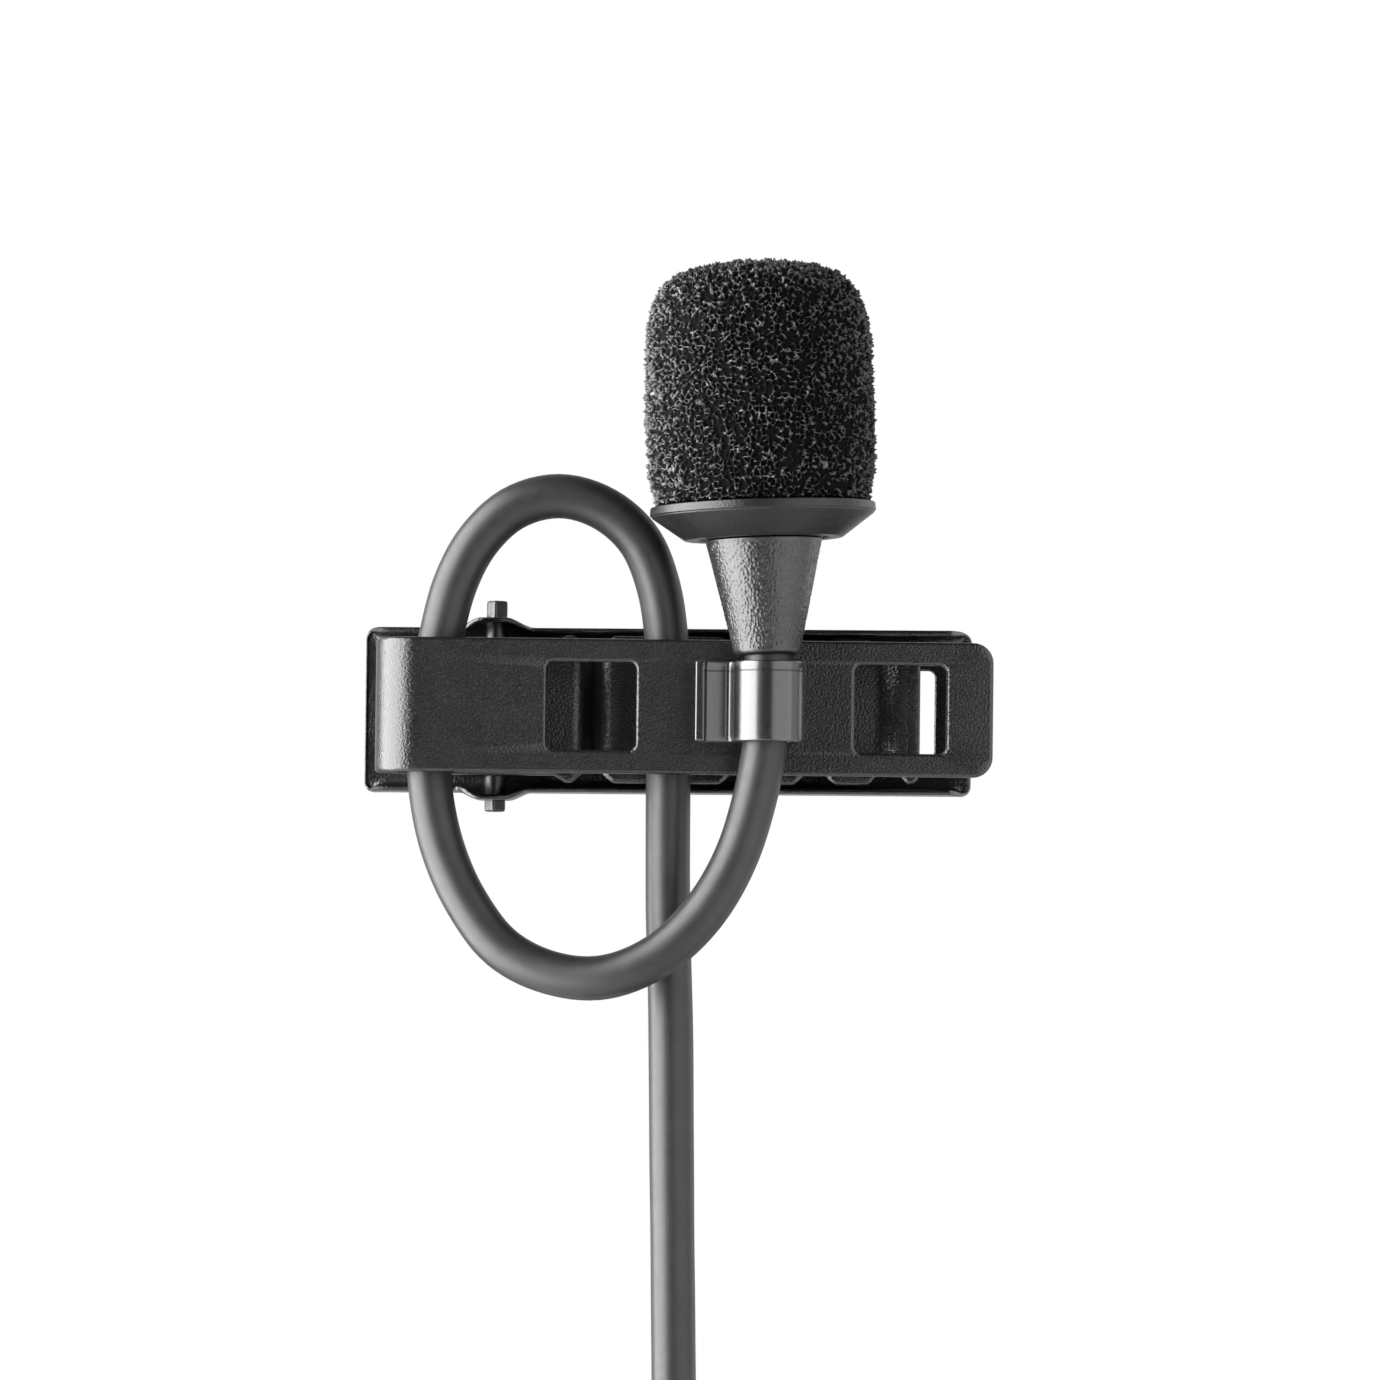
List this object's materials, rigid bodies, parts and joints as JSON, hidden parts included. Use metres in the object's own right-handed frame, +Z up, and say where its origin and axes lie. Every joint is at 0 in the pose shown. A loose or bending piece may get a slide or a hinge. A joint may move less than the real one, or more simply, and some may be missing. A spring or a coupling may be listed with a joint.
{
  "type": "lavalier microphone",
  "caption": "Subminiature clip-on microphone with foam windscreen, held by a sprung loop on a cable-routing tie clip; its lead ends in a small latching 4-pin connector.",
  "frame": {"origin": "middle of the grip, between the toothed inner jaw and the rear jaw of the clip", "axes": "+X along the clip towards the jaw tips, +Y from the front of the clip towards the wearer, +Z up, along the microphone's side of the clip"},
  "size_m": [0.0269, 0.0162, 0.1467],
  "materials": {
    "clip_paint": "fine-textured satin black",
    "blackened_steel": "blackened",
    "spring_steel": "drawn wire",
    "holder_black": "glossy black",
    "relief_rubber": "leather-grained matte",
    "housing_metal": "black anodised",
    "mesh_cloth": "fine woven",
    "can_aluminium": "drawn",
    "brass": "plated",
    "cream_plastic": "moulded",
    "board_green": "solder mask",
    "collar_plastic": "satin moulded",
    "foam": "open-cell foam",
    "cable_jacket": "matte",
    "tie_strap": "hook and loop",
    "nickel": "satin nickel",
    "insert_plastic": "moulded",
    "gold": "gold plated",
    "boot_rubber": "matte moulded"
  },
  "bodies": {
    "clip": {"front_plate": "clip_paint", "hinge_pin": "blackened_steel", "torsion_spring": "spring_steel", "mic_holder": "holder_black", "holder_rivet": "blackened_steel", "strain_relief": "relief_rubber", "mic_housing": "housing_metal", "grille_cap": "housing_metal", "dust_mesh": "mesh_cloth", "capsule_gasket": "relief_rubber", "capsule_can": "can_aluminium", "diaphragm_ring": "brass", "diaphragm": "brass", "spacer_ring": "cream_plastic", "backplate": "brass", "backplate_holder": "cream_plastic", "fet_chip": "insert_plastic", "capsule_board": "board_green", "cable": "cable_jacket", "cable_hank": "cable_jacket", "cable_tail": "cable_jacket", "hank_tie": "tie_strap", "connector_shell": "nickel", "connector_insert": "insert_plastic", "contact_1": "gold", "contact_2": "gold", "contact_3": "gold", "contact_4": "gold", "latch_spring": "spring_steel", "cable_clamp": "insert_plastic", "connector_nut": "nickel", "connector_boot": "boot_rubber"},
    "rear_jaw": {"rear_jaw": "clip_paint"},
    "windscreen": {"windscreen_foam": "foam", "windscreen_collar": "collar_plastic"},
    "latch": {"latch_button": "nickel"}
  },
  "joints": [
    {"name": "jaw_hinge", "type": "hinge", "parent": "clip", "child": "rear_jaw", "pos_m": [-0.00831, 0.0003, 0], "axis": [0, 0, 1], "range_deg": [0, 22], "stiffness_Nm_per_rad": 0.1, "springref_deg": -34.38, "deforming": ["torsion_spring"]},
    {"name": "windscreen_pull", "type": "slide", "parent": "clip", "child": "windscreen", "axis": [-0.0412, 0, 0.9992], "range_m": [0, 0.008]},
    {"name": "latch_press", "type": "slide", "parent": "clip", "child": "latch", "axis": [0, 1, 0], "range_m": [0, 0.0006], "stiffness_N_per_m": 300, "springref_m": -0.0005, "deforming": ["latch_spring"]}
  ]
}
